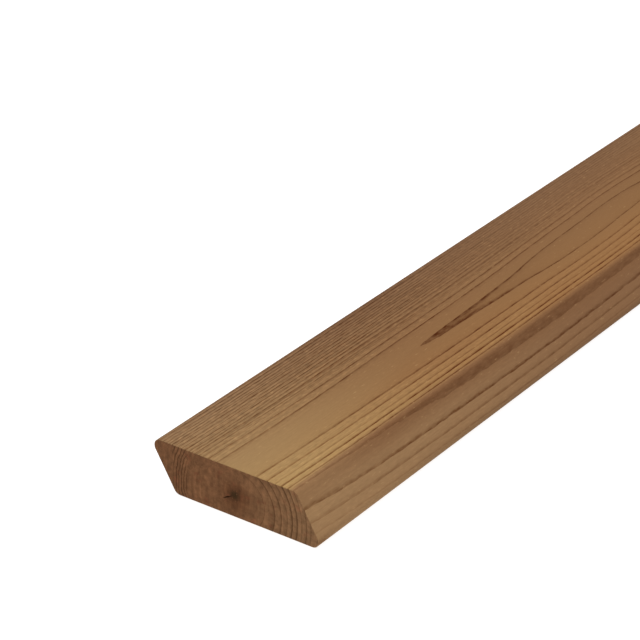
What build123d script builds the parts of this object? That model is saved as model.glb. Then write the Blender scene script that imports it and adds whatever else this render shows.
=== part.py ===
from build123d import *
import os
from math import radians, tan

# Driving dimensions, in millimetres and degrees
LENGTH = 1800.0  # from one square-cut end to the other
FACE_WIDTH = 68.0  # front and back face, each from corner to corner before the rounding
THICKNESS = 21.0  # planed thickness, back face to front face
EDGE_SLANT = 30.0  # lean of both long edges away from square to the faces
ARRIS_RADIUS = 3.0  # rounding along the four long corners

# Sideways step from the back face to the front face, which the slanted edges make
SLANT_STEP = THICKNESS * tan(radians(EDGE_SLANT))


def board_section():
    """Parallelogram across the grain, with its back face on the ground and its corners rounded."""
    back_left = (SLANT_STEP - FACE_WIDTH) / 2
    front_left = back_left - SLANT_STEP
    outline = Polygon(
        (back_left, 0),
        (back_left + FACE_WIDTH, 0),
        (front_left + FACE_WIDTH, THICKNESS),
        (front_left, THICKNESS),
        align=None,
    )
    return fillet(outline.vertices(), ARRIS_RADIUS)


def cladding_board():
    """One planed board, its length along Y, its middle above the origin and its front face up."""
    return extrude(Plane.XZ * board_section(), amount=LENGTH / 2, both=True)


os.makedirs("parts", exist_ok=True)
export_step(cladding_board(), "parts/cladding_board.step")
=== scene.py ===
from math import ceil, pi, radians, sin, tan

import bmesh
import bpy
from mathutils import Matrix, Vector


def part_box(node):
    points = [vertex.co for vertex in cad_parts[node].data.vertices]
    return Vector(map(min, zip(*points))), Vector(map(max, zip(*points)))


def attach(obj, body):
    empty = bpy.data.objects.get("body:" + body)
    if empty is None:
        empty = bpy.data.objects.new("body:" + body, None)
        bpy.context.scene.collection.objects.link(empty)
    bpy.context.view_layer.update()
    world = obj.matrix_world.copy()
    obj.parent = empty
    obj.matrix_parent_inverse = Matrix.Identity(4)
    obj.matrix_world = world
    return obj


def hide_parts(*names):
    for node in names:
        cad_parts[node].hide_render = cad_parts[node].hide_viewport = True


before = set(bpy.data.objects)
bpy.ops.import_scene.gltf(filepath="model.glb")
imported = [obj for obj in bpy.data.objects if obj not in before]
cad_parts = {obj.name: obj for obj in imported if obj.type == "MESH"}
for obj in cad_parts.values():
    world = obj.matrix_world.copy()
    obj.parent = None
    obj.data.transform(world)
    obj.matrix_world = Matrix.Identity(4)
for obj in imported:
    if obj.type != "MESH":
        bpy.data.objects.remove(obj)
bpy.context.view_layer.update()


def shade(red, green, blue):
    """A colour as it is seen on a screen, 0 to 255, turned into light."""
    def light(value):
        value /= 255
        return value / 12.92 if value <= 0.04045 else ((value + 0.055) / 1.055) ** 2.4
    return (light(red), light(green), light(blue), 1.0)


MM = 0.001
BOARD = "cladding_board"

# Sizes of the board: the frame's box gives the outside, and the planed profile gives the rest
LOW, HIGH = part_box(BOARD)
LENGTH = HIGH.y - LOW.y
THICKNESS = HIGH.z - LOW.z
EDGE_SLANT = radians(30)
ARRIS_RADIUS = 3 * MM
END_SOFTENING = 0.2 * MM
ARC_STEP = radians(8)
SLANT_STEP = THICKNESS * tan(EDGE_SLANT)
LEANING_CORNER = radians(90) - EDGE_SLANT
ROUNDED_AWAY = ARRIS_RADIUS / tan(LEANING_CORNER / 2) - ARRIS_RADIUS
FACE_WIDTH = HIGH.x - LOW.x - SLANT_STEP + 2 * ROUNDED_AWAY
BOARD_MM = LENGTH / MM

# A drying check starts at the pith on each sawn end.
# Its reach across and up in mm, at the near end and the far end
CHECK_REACH = ((-5.8, -3.2), (4.1, -2.2))
CHECK_WIDTH = 0.8 * MM
CHECK_WIDEST_AT = 0.65
CHECK_DEPTH = 1.6 * MM
CHECK_FLOOR = 0.3
# A face that looks along the board this squarely is an end, and the checks lie this near the middle
END_FACING = 0.9
CHECK_NEAR_MIDDLE = 10 * MM
# How much more the large faces count than the narrow ones when corners are shaded, at most 100
FACE_WEIGHT = 100

# Shares of the flat map: a free edge, where the ends' strip starts, and one end's width
MAP_EDGE = 0.004
MAP_ENDS_FROM = 0.86
MAP_END_WIDTH = 0.49

# Growth rings: the loop on the front face is drawn by one of them, and from there outwards each ring
# is a little narrower than the one before. Two rings lie inside it, at these shares of its radius.
LOOP_RING_MM = 12.9
RING_WIDTH_MM = 4.3
NARROWING = 0.71
INNER_SHARES = (0.5, 0.75)
RING_COUNT = 22
# Each ring's latewood, from the pith outwards: how thick it is in mm, and how dark
RING_LOOKS = (
    (0.5, 0.2), (0.5, 0.3), (0.28, 0.8), (0.65, 0.74), (0.7, 0.75), (0.6, 0.45), (0.8, 1.0),
    (0.65, 0.9), (0.7, 0.4), (0.45, 0.7), (0.5, 0.45), (0.35, 0.28), (0.6, 0.7),
)
OUTER_LOOKS = ((0.5, 0.6), (0.6, 0.8))
LATEWOOD_SHARE = 0.3
RING_REACH_MM = 50.0
# How dark a year's wood is, from its spring at 0 to its end at 1
SEASON = ((0.0, 0.12), (0.05, 0.0), (0.5, 0.05), (0.72, 0.2), (0.88, 0.9), (1.0, 1.0))

# Middle of the outer rings at the near end, in mm across and up, and the pith's place beside it
RING_MIDDLE = (1.1, 6.5)
PITH_OFFSET = (-1.2, 2.9)
# How the pith wanders along the board: mm from the near end, mm sideways, mm up
PITH_LINE = (
    (0, 0.0, 0.0), (60, 1.7, 0.2), (113, 2.1, 0.8), (150, 2.2, 1.0), (190, 1.9, 1.4),
    (250, 1.0, 2.5), (310, -0.5, 1.3), (400, 0.2, -1.2), (560, 2.0, 0.5), (700, 2.6, 2.2),
    (860, 1.2, 3.8), (1000, -0.8, 2.0), (1120, -2.0, 0.0), (1250, -2.6, -1.5), (1400, -1.4, -0.5),
    (1550, 0.6, 1.6), (1680, 1.6, 2.6), (1800, 1.0, 1.4),
)
WANDER_MM = 5.0
SIDEWAYS = 1
UPWARDS = 2
# Outside this radius the rings are wider on the right, by this share
WIDER_FROM_MM = 16.5
WIDER_RIGHT = 0.11
# Small sways of the rings: their size across, along and up in mm, and how far they push in mm
RING_SWAYS = (
    ((18, 220, 18), (0.4, 0, 0.4)),
    ((3, 45, 3), (0.2, 0, 0.15)),
    ((1.6, 7, 1.6), (0.36, 0, 0.1)),
)
NOISE_MIDDLE = (0.5, 0.5, 0.5)
# Narrow rings that crowd on the left: half the step between them, and how unevenly they lie
CROWDED_HALF_STEP_MM = 0.75
CROWDED_SWAY_SIZE = (5, 300, 5)
CROWDED_SWAY_MM = 2.0

# Fine grain: the size of its marks across, along and up in mm, their detail and their roughness
FIBRE = {
    "Streaks": ((0.6, 60, 0.6), 3.0, 0.6),
    "Flecks": ((0.7, 3.2, 0.7), 1.0, 0.5),
    "Breaks": ((1.2, 4.5, 1.2), 2.0, 0.5),
    "Clouds": ((26, 190, 26), 2.0, 0.5),
}

# Each range below starts and stops at two values, and may give the result at either of them, which is
# otherwise 0 and 1. Places are in mm: across from the middle, along from the near end, up from the back,
# or out from the middle of the rings. Values of a noise, and of latewood, lie between 0 and 1.

# Ranges of the rings
OUTER_FOLLOW = (14, 32, 1.0, 0.6)
NEAR_PITH = (4, 18, 1.0, 0.0)
CROWDED_LINE = (0.0, 0.45, 1.0, 0.0)
CROWDED_LEFT = (-10, -17)

# Planed wood: colours
FACE_GOLDEN = shade(180, 145, 95)
FACE_BROWN = shade(157, 114, 71)
LEFT_GOLDEN = shade(147, 114, 83)
LEFT_BROWN = shade(128, 95, 68)
SLANT_GOLDEN = shade(166, 130, 91)
SLANT_BROWN = shade(143, 105, 73)
SLANT_UPPER = shade(137, 98, 66)
# Painted shade for the slanted face's lower corner, by the floor
PAINTED_CORNER_SHADE = shade(84, 60, 40)
PALE_FLECK = shade(190, 155, 108)
# The light that the darkest latewood leaves
LATEWOOD_TINT = (0.28, 0.11, 0.0, 1.0)
# Planed wood: ranges of the ground colour
FACE_TOASTED = (-20, 130)
SLANT_TOASTED = (0, 220)
CLOUDY = (0.3, 0.7, -0.2, 0.2)
TOWARDS_LEFT = (26, -40)
UPPER_PART = (10.5, 20)
UPPER_ALONG = (10, 60, 0.5, 0.95)
SLANT_DRIFT = (0, 200, 0.9, -1.1)
SLANT_STARTS = (24, 27.5)
HEART_SHADE = (12, 19, 0.92, 1.0)
# Where the painted shade on the slanted face's lower corner lies
CORNER_UP = (6.0, 1.0, 0.0, 0.5)
CORNER_ACROSS = (31, 35)
CORNER_ALONG = (10, 130, 0.4, 1.0)
OFF_THE_BACK = (0.0, 0.7)
# Planed wood: ranges of the streaks and flecks
LIVELY_OUTSIDE = (14, 19, 0.3, 1.0)
LIVELY_LEFT = (5, -25, 0.55, 1.0)
LIVELY_ALONG = (60, 300, 1.0, 0.45)
LIVELY_SLANT = (24, 28, 1.0, 0.5)
STREAKED = (0.25, 0.75, 0.76, 1.24)
DASHED = (0.25, 0.75, 0.78, 1.22)
FLECKED = (0.68, 0.78, 0.0, 0.3)
# Planed wood: ranges of the latewood lines
LINES_LEFT = (-16, -12, 0.5, 1.0)
LOOP_STARTS = (108, 134, 0.5, 1.0)
PAST_LOOP = (13.5, 15.5)
CROWDED_ALONG = (80, 240, 0.8, 0.34)
LINES_NEAR = (0, 130, 0.72, 1.0)
LINES_FAR = (140, 260, 1.0, 0.82)
LINE_BREAKS = (0.3, 0.7, 0.6, 1.35)
# Planed wood: surface
PLANED_ROUGHNESS = (0, 1, 0.72, 0.6)
PLANED_SHINE = 0.03
PLANED_RELIEF = 0.05 * MM
STREAK_RELIEF = 0.6
LATEWOOD_RELIEF = -0.5
BUMP_STRENGTH = 0.5

# Sawn ends: colours
END_LEFT = shade(118, 81, 54)
END_RIGHT = shade(134, 99, 68)
END_HEART = shade(96, 62, 39)
END_RED = shade(128, 70, 48)
END_LATEWOOD = shade(66, 41, 22)
TORN_PALE = shade(160, 118, 84)
TORN_DARK = shade(60, 38, 22)
PITH_BROWN = shade(58, 41, 22)
# Painted shade inside the drying check
CHECK_PAINTED_SHADE = shade(84, 55, 34)
# Sawn ends: lumps of lighter and darker wood, their size in mm and how much they change it
END_LUMPS = (
    ((1.3, 9, 1.7), 0.16),
    ((1.6, 50, 14), 0.16),
    ((3.0, 30, 2.6), 0.22),
    ((7, 30, 6), 0.16),
)
LUMP_FROM = 0.25
LUMP_TO = 0.75
RED_SIZE = (5, 40, 4)
TORN_SIZE = (0.5, 20, 0.8)
TORN_DETAIL = 1.0
# Sawn ends: ranges
END_PALER = (-5, 34)
HEART_OUT = (2.5, 10, 1.0, 0.0)
RED_SHARE = (0.55, 0.75, 0.0, 0.35)
END_LINES_RIGHT = (-8, 10, 0.2, 0.75)
END_LINES_OUT = (9, 18, 0.35, 1.0)
END_CROWDED_FROM = (-30, -28, 0.0, 0.8)
END_CROWDED_TO = (-20.5, -24)
TORN_PALE_SHARE = (0.66, 0.76, 0.0, 0.35)
TORN_DARK_SHARE = (0.3, 0.22, 0.0, 0.4)
PITH_OUT = (1.8, 4.0, 0.9, 0.0)
# How deep below the end the check's walls darken with painted shade
CHECK_INSIDE = (0.2, 0.8)
# Below 1 it strengthens faint lines
END_LATEWOOD_POWER = 0.7
PITH_RAGGED_MM = 2.4
# Sawn ends: surface
END_ROUGHNESS = 0.8
END_SHINE = 0.04
END_RELIEF = 0.08 * MM
TORN_RELIEF = 2.0

# Floor, light and camera
WHITE = (1, 1, 1, 1)
FLOOR_GREY = (0.35, 0.35, 0.35, 1)
FLOOR_GLOW = 0.88
FLOOR_HALF = 30
FLOOR_DROP = 0.2 * MM
SKY_STRENGTH = 0.5
LAMP_STRENGTH = 0.55 * pi
LAMP_SPREAD = radians(70)
LAMP_TURN = (radians(-12), radians(-14), 0)
SENSOR_MM = 36.0
LENS_MM = 148.1
CAMERA_PLACE = (0.5074, LOW.y - 0.649, 0.5187)
CAMERA_TURN = (radians(90 - 27.93), 0, radians(35.85))


# Building blocks for node trees


def add(tree, kind, *feeds, **settings):
    """Adds a node and fills its inputs in order, each from a socket or a plain value."""
    made = tree.nodes.new("ShaderNode" + kind)
    for name, value in settings.items():
        setattr(made, name, value)
    for socket, feed in zip(made.inputs, feeds):
        feed_socket(tree, socket, feed)
    return made


def feed_socket(tree, socket, feed):
    if isinstance(feed, bpy.types.NodeSocket):
        tree.links.new(feed, socket)
    elif feed is not None:
        socket.default_value = feed


def calc(tree, how, *feeds):
    return add(tree, "Math", *feeds, operation=how).outputs[0]


def times(tree, value, *shares):
    for share in shares:
        value = calc(tree, "MULTIPLY", value, share)
    return value


def vector_calc(tree, how, *feeds):
    return add(tree, "VectorMath", *feeds, operation=how).outputs[0]


def spread(tree, value, from_low, from_high, to_low=0.0, to_high=1.0, how="SMOOTHSTEP"):
    """Turns a range of values into another, softly at both its ends unless asked for a straight line."""
    ranged = add(tree, "MapRange", value, from_low, from_high, to_low, to_high, interpolation_type=how)
    return ranged.outputs[0]


def mix(tree, share, first, second, how="MIX"):
    made = tree.nodes.new("ShaderNodeMix")
    made.data_type = "RGBA"
    made.blend_type = how
    for index, feed in ((0, share), (6, first), (7, second)):
        feed_socket(tree, made.inputs[index], feed)
    return made.outputs[2]


def toned(tree, colour, brightness):
    return mix(tree, 1.0, colour, brightness, "MULTIPLY")


def drawn_curve(tree, value, points, handles):
    """A curve through points, both ways from 0 to 1."""
    made = add(tree, "FloatCurve", 1.0, value)
    line = made.mapping.curves[0]
    for _ in points[2:]:
        line.points.new(0.5, 0.5)
    for point, place in zip(line.points, points):
        point.location = place
        point.handle_type = handles
    made.mapping.update()
    return made.outputs[0]


def ramp(tree, value, stops, how="LINEAR"):
    """A grey ramp: each stop is a place and a brightness."""
    made = add(tree, "ValToRGB", value)
    steps = made.color_ramp
    steps.interpolation = how
    for _ in stops[2:]:
        steps.elements.new(0.5)
    for step, (place, grey) in zip(steps.elements, stops):
        step.position = place
        step.color = (grey, grey, grey, 1.0)
    return made.outputs[0]


def noise(tree, position, size_mm, detail=2.0, roughness=0.5):
    """Soft noise whose lumps have this size across, along and through the board."""
    scaled = vector_calc(tree, "DIVIDE", position, size_mm)
    return add(tree, "TexNoise", scaled, None, 1.0, detail, roughness)


def radius(tree, across, up):
    flat = add(tree, "CombineXYZ", across, 0.0, up).outputs[0]
    return add(tree, "VectorMath", flat, operation="LENGTH").outputs["Value"]


def new_group(name, values_out):
    """A node group that turns a place on the board into values."""
    group = bpy.data.node_groups.new(name, "ShaderNodeTree")
    group.interface.new_socket(name="Position", in_out="INPUT", socket_type="NodeSocketVector")
    for value in values_out:
        group.interface.new_socket(name=value, in_out="OUTPUT", socket_type="NodeSocketFloat")
    start = group.nodes.new("NodeGroupInput")
    end = group.nodes.new("NodeGroupOutput")
    return group, start.outputs["Position"], end


def use_group(tree, group, position):
    made = tree.nodes.new("ShaderNodeGroup")
    made.node_tree = group
    tree.links.new(position, made.inputs["Position"])
    return made.outputs


# Wood


def growth_rings():
    """Year rings through the whole solid, so that every face shows its own cut of the same rings."""
    group, place, end = new_group("growth_rings", ("Latewood", "Radius", "Crowded"))
    position = place
    for size_mm, sway_mm in RING_SWAYS:
        sway = noise(group, place, size_mm).outputs["Color"]
        sway = vector_calc(group, "SUBTRACT", sway, NOISE_MIDDLE)
        position = vector_calc(group, "MULTIPLY_ADD", sway, sway_mm, position)
    across, along, up = add(group, "SeparateXYZ", position).outputs
    true_radius = ring_radius(group, across, along, up)

    # Years against radius: the outermost part of each ring is its latewood
    radii = [LOOP_RING_MM * part for part in INNER_SHARES]
    radii += [LOOP_RING_MM + RING_WIDTH_MM * n ** NARROWING for n in range(RING_COUNT - len(radii))]
    looks = (RING_LOOKS + OUTER_LOOKS * RING_COUNT)[:RING_COUNT]
    years = [(0.0, 0.0)]
    for number, (ring_mm, (latewood_mm, _)) in enumerate(zip(radii, looks), 1):
        latewood_from = (ring_mm - latewood_mm) / RING_REACH_MM
        years.append((latewood_from, (number - LATEWOOD_SHARE) / RING_COUNT))
        years.append((ring_mm / RING_REACH_MM, number / RING_COUNT))
    age = drawn_curve(group, calc(group, "DIVIDE", true_radius, RING_REACH_MM), years, "VECTOR")
    strengths = [(number / RING_COUNT, dark) for number, (_, dark) in enumerate(looks)]
    strength = ramp(group, age, strengths, "CONSTANT")
    season = calc(group, "FRACT", calc(group, "MULTIPLY", age, RING_COUNT))
    late = calc(group, "MULTIPLY", ramp(group, season, SEASON), strength)

    # On the left, narrow rings crowd between the others
    unevenly = noise(group, place, CROWDED_SWAY_SIZE).outputs["Fac"]
    unevenly = calc(group, "MULTIPLY_ADD", unevenly, CROWDED_SWAY_MM, true_radius)
    crowded = calc(group, "PINGPONG", unevenly, CROWDED_HALF_STEP_MM)
    crowded = spread(group, crowded, *CROWDED_LINE)
    crowded = calc(group, "MULTIPLY", crowded, spread(group, across, *CROWDED_LEFT))
    for name, socket in (("Latewood", late), ("Radius", true_radius), ("Crowded", crowded)):
        group.links.new(socket, end.inputs[name])
    return group


def ring_radius(tree, across, along, up):
    """How far out a place lies, on rings whose middle follows the pith, the outer ones less."""
    share = calc(tree, "DIVIDE", along, BOARD_MM)
    middle_x, middle_z = RING_MIDDLE
    from_x = calc(tree, "SUBTRACT", across, middle_x)
    from_z = calc(tree, "SUBTRACT", up, middle_z)
    follow = spread(tree, radius(tree, from_x, from_z), *OUTER_FOLLOW)
    from_x = calc(tree, "SUBTRACT", from_x, pith_wander(tree, share, SIDEWAYS, follow))
    from_z = calc(tree, "SUBTRACT", from_z, pith_wander(tree, share, UPWARDS, follow))

    # Near the pith the rings centre on it, and far out they grow faster on the right
    rough = radius(tree, from_x, from_z)
    near_pith = spread(tree, rough, *NEAR_PITH)
    outside = calc(tree, "MAXIMUM", calc(tree, "SUBTRACT", rough, WIDER_FROM_MM), 0.0)
    lopsided = calc(tree, "MULTIPLY", outside, WIDER_RIGHT)
    aside, above = PITH_OFFSET
    shift_x = calc(tree, "MULTIPLY_ADD", near_pith, aside, lopsided)
    shift_z = calc(tree, "MULTIPLY", near_pith, above)
    from_x = calc(tree, "SUBTRACT", from_x, shift_x)
    from_z = calc(tree, "SUBTRACT", from_z, shift_z)
    return radius(tree, from_x, from_z)


def pith_wander(tree, share, axis, follow):
    """How far the pith has wandered sideways or up, at a share of the board's length."""
    places = [(point[0] / BOARD_MM, 0.5 + point[axis] / (2 * WANDER_MM)) for point in PITH_LINE]
    wander = drawn_curve(tree, share, places, "AUTO_CLAMPED")
    wander = spread(tree, wander, 0, 1, -WANDER_MM, WANDER_MM, "LINEAR")
    return calc(tree, "MULTIPLY", wander, follow)


def wood_fibre():
    """Fine streaks, short flecks and breaks, and broad clouds that run along the grain."""
    group, place, end = new_group("wood_fibre", FIBRE)
    for name, (size_mm, detail, roughness) in FIBRE.items():
        marks = noise(group, place, size_mm, detail, roughness).outputs["Fac"]
        group.links.new(marks, end.inputs[name])
    return group


def new_material(name):
    """A material with its shader, and the place on the board in mm, lengthwise from the near end."""
    made = bpy.data.materials.new(name)
    made.use_nodes = True
    tree = made.node_tree
    shader = tree.nodes["Principled BSDF"]
    place = add(tree, "TexCoord").outputs["Object"]
    position = vector_calc(tree, "MULTIPLY_ADD", place, (1 / MM,) * 3, (0, BOARD_MM / 2, 0))
    return made, tree, shader, position


def roughen(tree, shader, relief, height):
    """Fine relief, too shallow for the mesh."""
    bump = add(tree, "Bump", BUMP_STRENGTH, height)
    tree.links.new(relief, bump.inputs["Height"])
    tree.links.new(bump.outputs[0], shader.inputs["Normal"])


def planed_ground(tree, grain, across, along, up):
    """The planed wood's colour without its lines."""
    # Golden beside the sawn end, red-brown farther along, and darker towards the left
    cloudy = spread(tree, grain["Clouds"], *CLOUDY, how="LINEAR")
    toasted = calc(tree, "ADD", spread(tree, along, *FACE_TOASTED), cloudy)
    right = mix(tree, toasted, FACE_GOLDEN, FACE_BROWN)
    left = mix(tree, toasted, LEFT_GOLDEN, LEFT_BROWN)
    ground = mix(tree, spread(tree, across, *TOWARDS_LEFT, how="LINEAR"), right, left)
    # The slanted face turns brown more slowly, and its upper part is redder
    toasted = calc(tree, "ADD", spread(tree, along, *SLANT_TOASTED), cloudy)
    slanted = mix(tree, toasted, SLANT_GOLDEN, SLANT_BROWN)
    upper = times(tree, spread(tree, up, *UPPER_PART), spread(tree, along, *UPPER_ALONG))
    slanted = mix(tree, upper, slanted, SLANT_UPPER)
    edge = calc(tree, "ADD", across, spread(tree, along, *SLANT_DRIFT))
    return mix(tree, spread(tree, edge, *SLANT_STARTS), ground, slanted)


def planed_wood(rings, fibre):
    made, tree, shader, position = new_material("planed_heat_treated_wood")
    ring = use_group(tree, rings, position)
    grain = use_group(tree, fibre, position)
    across, along, up = add(tree, "SeparateXYZ", position).outputs
    base = planed_ground(tree, grain, across, along, up)
    base = toned(tree, base, spread(tree, ring["Radius"], *HEART_SHADE))

    # The heart's wide rings are plain, and the narrow rings on the left are the most streaked
    lively = times(
        tree,
        spread(tree, ring["Radius"], *LIVELY_OUTSIDE),
        spread(tree, across, *LIVELY_LEFT),
        spread(tree, along, *LIVELY_ALONG),
        spread(tree, across, *LIVELY_SLANT),
    )
    streaked = toned(tree, base, spread(tree, grain["Streaks"], *STREAKED, how="LINEAR"))
    dashed = toned(tree, streaked, spread(tree, grain["Flecks"], *DASHED, how="LINEAR"))
    base = mix(tree, lively, base, dashed)

    # Lines of latewood, broken by the grain. The loop that the inner ring draws starts pale.
    past_loop = spread(tree, ring["Radius"], *PAST_LOOP)
    started = calc(tree, "MAXIMUM", spread(tree, along, *LOOP_STARTS), past_loop)
    late = times(tree, ring["Latewood"], spread(tree, across, *LINES_LEFT), started)
    crowded = times(tree, ring["Crowded"], spread(tree, along, *CROWDED_ALONG))
    late = times(
        tree,
        calc(tree, "MAXIMUM", late, crowded),
        spread(tree, along, *LINES_NEAR),
        spread(tree, along, *LINES_FAR),
        spread(tree, grain["Breaks"], *LINE_BREAKS, how="LINEAR"),
    )
    base = mix(tree, late, base, LATEWOOD_TINT, "MULTIPLY")
    base = mix(tree, spread(tree, grain["Flecks"], *FLECKED), base, PALE_FLECK)

    # The slanted face darkens towards its lower corner: painted shade where the board meets the floor
    low = times(
        tree,
        spread(tree, up, *CORNER_UP),
        spread(tree, across, *CORNER_ACROSS),
        spread(tree, along, *CORNER_ALONG),
        spread(tree, up, *OFF_THE_BACK),
    )
    base = mix(tree, low, base, PAINTED_CORNER_SHADE)
    tree.links.new(base, shader.inputs["Base Color"])
    rough = spread(tree, ring["Latewood"], *PLANED_ROUGHNESS, how="LINEAR")
    tree.links.new(rough, shader.inputs["Roughness"])
    shader.inputs["Specular IOR Level"].default_value = PLANED_SHINE
    sunk = calc(tree, "MULTIPLY", ring["Latewood"], LATEWOOD_RELIEF)
    relief = calc(tree, "MULTIPLY_ADD", grain["Streaks"], STREAK_RELIEF, sunk)
    roughen(tree, shader, relief, PLANED_RELIEF)
    return made


def sawn_end_grain(rings):
    made, tree, shader, position = new_material("sawn_end_grain")
    ring = use_group(tree, rings, position)
    across, along, _ = add(tree, "SeparateXYZ", position).outputs
    base = mix(tree, spread(tree, across, *END_PALER), END_LEFT, END_RIGHT)
    base = mix(tree, spread(tree, ring["Radius"], *HEART_OUT), base, END_HEART)
    red = noise(tree, position, RED_SIZE).outputs["Fac"]
    base = mix(tree, spread(tree, red, *RED_SHARE), base, END_RED)
    for size_mm, change in END_LUMPS:
        lumps = noise(tree, position, size_mm).outputs["Fac"]
        lumps = spread(tree, lumps, LUMP_FROM, LUMP_TO, 1 - change, 1 + change, "LINEAR")
        base = toned(tree, base, lumps)

    # Inner rings hardly show on the saw cut, and those on the right and a few on the left show best
    late = times(
        tree,
        calc(tree, "POWER", ring["Latewood"], END_LATEWOOD_POWER),
        spread(tree, across, *END_LINES_RIGHT),
        spread(tree, ring["Radius"], *END_LINES_OUT),
    )
    crowded = times(
        tree,
        ring["Crowded"],
        spread(tree, across, *END_CROWDED_FROM),
        spread(tree, across, *END_CROWDED_TO),
    )
    base = mix(tree, calc(tree, "MAXIMUM", late, crowded), base, END_LATEWOOD)

    torn = noise(tree, position, TORN_SIZE, TORN_DETAIL).outputs["Fac"]
    base = mix(tree, spread(tree, torn, *TORN_PALE_SHARE), base, TORN_PALE)
    base = mix(tree, spread(tree, torn, *TORN_DARK_SHARE), base, TORN_DARK)
    pith = calc(tree, "MULTIPLY_ADD", torn, PITH_RAGGED_MM, ring["Radius"])
    base = mix(tree, spread(tree, pith, *PITH_OUT), base, PITH_BROWN)
    # Painted shade down the check's walls, darker with depth
    depth = calc(tree, "MINIMUM", along, calc(tree, "SUBTRACT", BOARD_MM, along))
    base = mix(tree, spread(tree, depth, *CHECK_INSIDE), base, CHECK_PAINTED_SHADE)
    tree.links.new(base, shader.inputs["Base Color"])
    shader.inputs["Roughness"].default_value = END_ROUGHNESS
    shader.inputs["Specular IOR Level"].default_value = END_SHINE
    relief = calc(tree, "MULTIPLY_ADD", torn, TORN_RELIEF, ring["Latewood"])
    roughen(tree, shader, relief, END_RELIEF)
    return made


# The board


def section_corners():
    """The section's four sharp corners: back left, back right, front right and front left."""
    back_left = (SLANT_STEP - FACE_WIDTH) / 2
    front_left = back_left - SLANT_STEP
    return [
        Vector((back_left, LOW.y, LOW.z)),
        Vector((back_left + FACE_WIDTH, LOW.y, LOW.z)),
        Vector((front_left + FACE_WIDTH, LOW.y, HIGH.z)),
        Vector((front_left, LOW.y, HIGH.z)),
    ]


def rounded_section(bm, girth_layer):
    """The section's outline at the near end, with an arc at each corner, and its length all round."""
    corners = section_corners()
    arcs = []
    for corner, last, following in zip(corners, corners[-1:] + corners[:-1], corners[1:] + corners[:1]):
        to_last = (last - corner).normalized()
        to_next = (following - corner).normalized()
        inside = to_last.angle(to_next)
        first = bm.verts.new(corner + to_last * ARRIS_RADIUS / tan(inside / 2))
        middle = corner + (to_last + to_next).normalized() * ARRIS_RADIUS / sin(inside / 2)
        arcs.append(arc(bm, first, middle, -1, pi - inside))
    for last_arc, next_arc in zip(arcs, arcs[1:] + arcs[:1]):
        bm.edges.new((last_arc[-1], next_arc[0]))
    outline = [vert for made in arcs for vert in made]
    girth = 0.0
    for vert, following in zip(outline, outline[1:] + outline[:1]):
        vert[girth_layer] = girth
        girth += (following.co - vert.co).length
    return outline, girth


def arc(bm, first, middle, sense, turn):
    """Spins a point round a middle, about the board's length, and returns the points in order."""
    steps = ceil(turn / ARC_STEP)
    before = len(bm.verts)
    bmesh.ops.spin(bm, geom=[first], cent=middle, axis=(0, sense, 0), angle=turn, steps=steps)
    bm.verts.ensure_lookup_table()
    return [first] + [bm.verts[before + i] for i in range(steps)]


def edges_between(verts):
    inside = set(verts)
    return [e for e in {e for v in verts for e in v.link_edges} if inside.issuperset(e.verts)]


def grow(bm, edges, shift, squeeze=None, about=None):
    """Extrudes a loop of edges, moves the new loop, and may narrow it about a place."""
    grown = bmesh.ops.extrude_edge_only(bm, edges=edges)["geom"]
    verts = [g for g in grown if isinstance(g, bmesh.types.BMVert)]
    bmesh.ops.translate(bm, verts=verts, vec=shift)
    if squeeze:
        bmesh.ops.scale(bm, verts=verts, vec=squeeze, space=Matrix.Translation(-about))
    return edges_between(verts)


def close_end(bm, rim, inwards, pith_step, reach):
    """Fills a sawn end round the drying check, which is a narrow split from the pith outwards."""
    _, sideways, rise = pith_step
    middle_x, middle_z = RING_MIDDLE
    aside, above = PITH_OFFSET
    pith = Vector((middle_x + aside + sideways, 0, middle_z + above + rise)) * MM
    pith.y = LOW.y if inwards > 0 else HIGH.y
    run = Vector((reach[0], 0, reach[1])) * MM
    beside = Vector((run.z, 0, -run.x)).normalized() * CHECK_WIDTH / 2
    widest = pith + run * CHECK_WIDEST_AT
    mouth = [bm.verts.new(place) for place in (pith, widest + beside, pith + run, widest - beside)]
    mouth_edges = [bm.edges.new(ends) for ends in zip(mouth, mouth[1:] + mouth[:1])]
    bmesh.ops.triangle_fill(bm, edges=rim + mouth_edges, use_beauty=True, normal=(0, -inwards, 0))
    floor = grow(bm, mouth_edges, (0, inwards * CHECK_DEPTH, 0), (CHECK_FLOOR, 1, CHECK_FLOOR), widest)
    bmesh.ops.contextual_create(bm, geom=floor)


def lay_flat(bm, girth_layer, girth):
    """A flat map: the planed faces unrolled lengthwise, and above them the two ends side by side."""
    flat = bm.loops.layers.uv.new("OFBake")
    for face in bm.faces:
        far = face.calc_center_median().y > (LOW.y + HIGH.y) / 2
        past_seam = max(v[girth_layer] for v in face.verts) > girth / 2
        for loop in face.loops:
            place = loop.vert.co
            if face.material_index:
                u = MAP_EDGE + far / 2 + MAP_END_WIDTH * (place.x - LOW.x) / (HIGH.x - LOW.x)
                v = MAP_ENDS_FROM + MAP_END_WIDTH * (place.z - LOW.z) / (HIGH.x - LOW.x)
            else:
                round_section = loop.vert[girth_layer]
                if past_seam and round_section < girth / 4:
                    round_section += girth
                u = MAP_EDGE + (1 - 2 * MAP_EDGE) * (place.y - LOW.y) / LENGTH
                v = MAP_EDGE + (MAP_ENDS_FROM - 3 * MAP_EDGE) * round_section / girth
            loop[flat].uv = (u, v)


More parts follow.
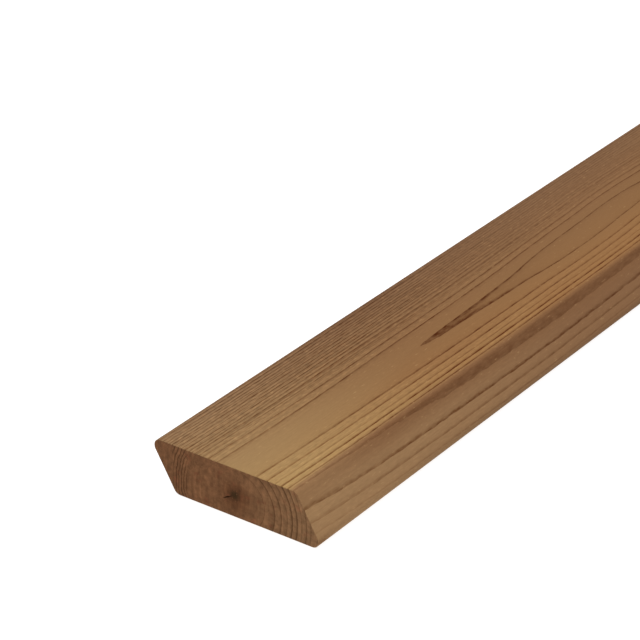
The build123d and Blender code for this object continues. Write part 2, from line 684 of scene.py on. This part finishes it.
def planed_board(face_finish, end_finish):
    bm = bmesh.new()
    girth_layer = bm.verts.layers.float.new("girth")
    outline, girth = rounded_section(bm, girth_layer)
    near_rim = edges_between(outline)
    middle = Vector((0, 0, THICKNESS / 2))
    softened = (1 - 2 * END_SOFTENING / FACE_WIDTH, 1, 1 - 2 * END_SOFTENING / THICKNESS)
    near_verts = {v for e in near_rim for v in e.verts}
    bmesh.ops.translate(bm, verts=list(near_verts), vec=(0, END_SOFTENING, 0))
    far_rim = grow(bm, near_rim, (0, LENGTH - 2 * END_SOFTENING, 0))
    near_rim = grow(bm, near_rim, (0, -END_SOFTENING, 0), softened, middle)
    far_rim = grow(bm, far_rim, (0, END_SOFTENING, 0), softened, middle)
    close_end(bm, near_rim, 1, PITH_LINE[0], CHECK_REACH[0])
    close_end(bm, far_rim, -1, PITH_LINE[-1], CHECK_REACH[1])
    bmesh.ops.recalc_face_normals(bm, faces=bm.faces)
    for face in bm.faces:
        facing_end = abs(face.normal.y) > END_FACING
        near_middle = all(abs(v.co.x) < CHECK_NEAR_MIDDLE for v in face.verts)
        in_check = near_middle and not facing_end
        face.material_index = int(facing_end or in_check)
        face.smooth = not in_check
    lay_flat(bm, girth_layer, girth)
    mesh = bpy.data.meshes.new("planed_board")
    bm.to_mesh(mesh)
    bm.free()
    mesh.materials.append(face_finish)
    mesh.materials.append(end_finish)
    piece = bpy.data.objects.new("planed_board", mesh)
    bpy.context.scene.collection.objects.link(piece)
    even = piece.modifiers.new("even_shading", "WEIGHTED_NORMAL")
    even.weight = FACE_WEIGHT
    return piece


# The stage


def pale_floor():
    bm = bmesh.new()
    bmesh.ops.create_grid(bm, x_segments=1, y_segments=1, size=FLOOR_HALF)
    mesh = bpy.data.meshes.new("pale_floor")
    bm.to_mesh(mesh)
    bm.free()
    finish = bpy.data.materials.new("pale_floor")
    finish.use_nodes = True
    shader = finish.node_tree.nodes["Principled BSDF"]
    shader.inputs["Base Color"].default_value = FLOOR_GREY
    shader.inputs["Roughness"].default_value = 1.0
    shader.inputs["Specular IOR Level"].default_value = 0.0
    shader.inputs["Emission Color"].default_value = WHITE
    shader.inputs["Emission Strength"].default_value = FLOOR_GLOW
    mesh.materials.append(finish)
    floor = bpy.data.objects.new("pale_floor", mesh)
    floor.location.z = -FLOOR_DROP
    bpy.context.scene.collection.objects.link(floor)


def studio_light():
    scene = bpy.context.scene
    world = bpy.data.worlds.new("studio")
    scene.world = world
    world.use_nodes = True
    sky = world.node_tree.nodes["Background"]
    sky.inputs["Color"].default_value = WHITE
    sky.inputs["Strength"].default_value = SKY_STRENGTH
    lamp = bpy.data.lights.new("overhead_softbox", "SUN")
    lamp.energy = LAMP_STRENGTH
    lamp.angle = LAMP_SPREAD
    key = bpy.data.objects.new("overhead_softbox", lamp)
    key.rotation_euler = LAMP_TURN
    scene.collection.objects.link(key)
    scene.view_settings.view_transform = "Standard"


def photo_camera():
    """Camera of the photo, found from the board's edges."""
    cam = bpy.data.cameras.new("camera")
    cam.sensor_width = SENSOR_MM
    cam.lens = LENS_MM
    holder = bpy.data.objects.new("camera", cam)
    holder.location = CAMERA_PLACE
    holder.rotation_euler = CAMERA_TURN
    bpy.context.scene.collection.objects.link(holder)
    bpy.context.scene.camera = holder


rings = growth_rings()
fibre = wood_fibre()
board = planed_board(planed_wood(rings, fibre), sawn_end_grain(rings))
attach(board, "root")
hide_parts(BOARD)
pale_floor()
studio_light()
photo_camera()
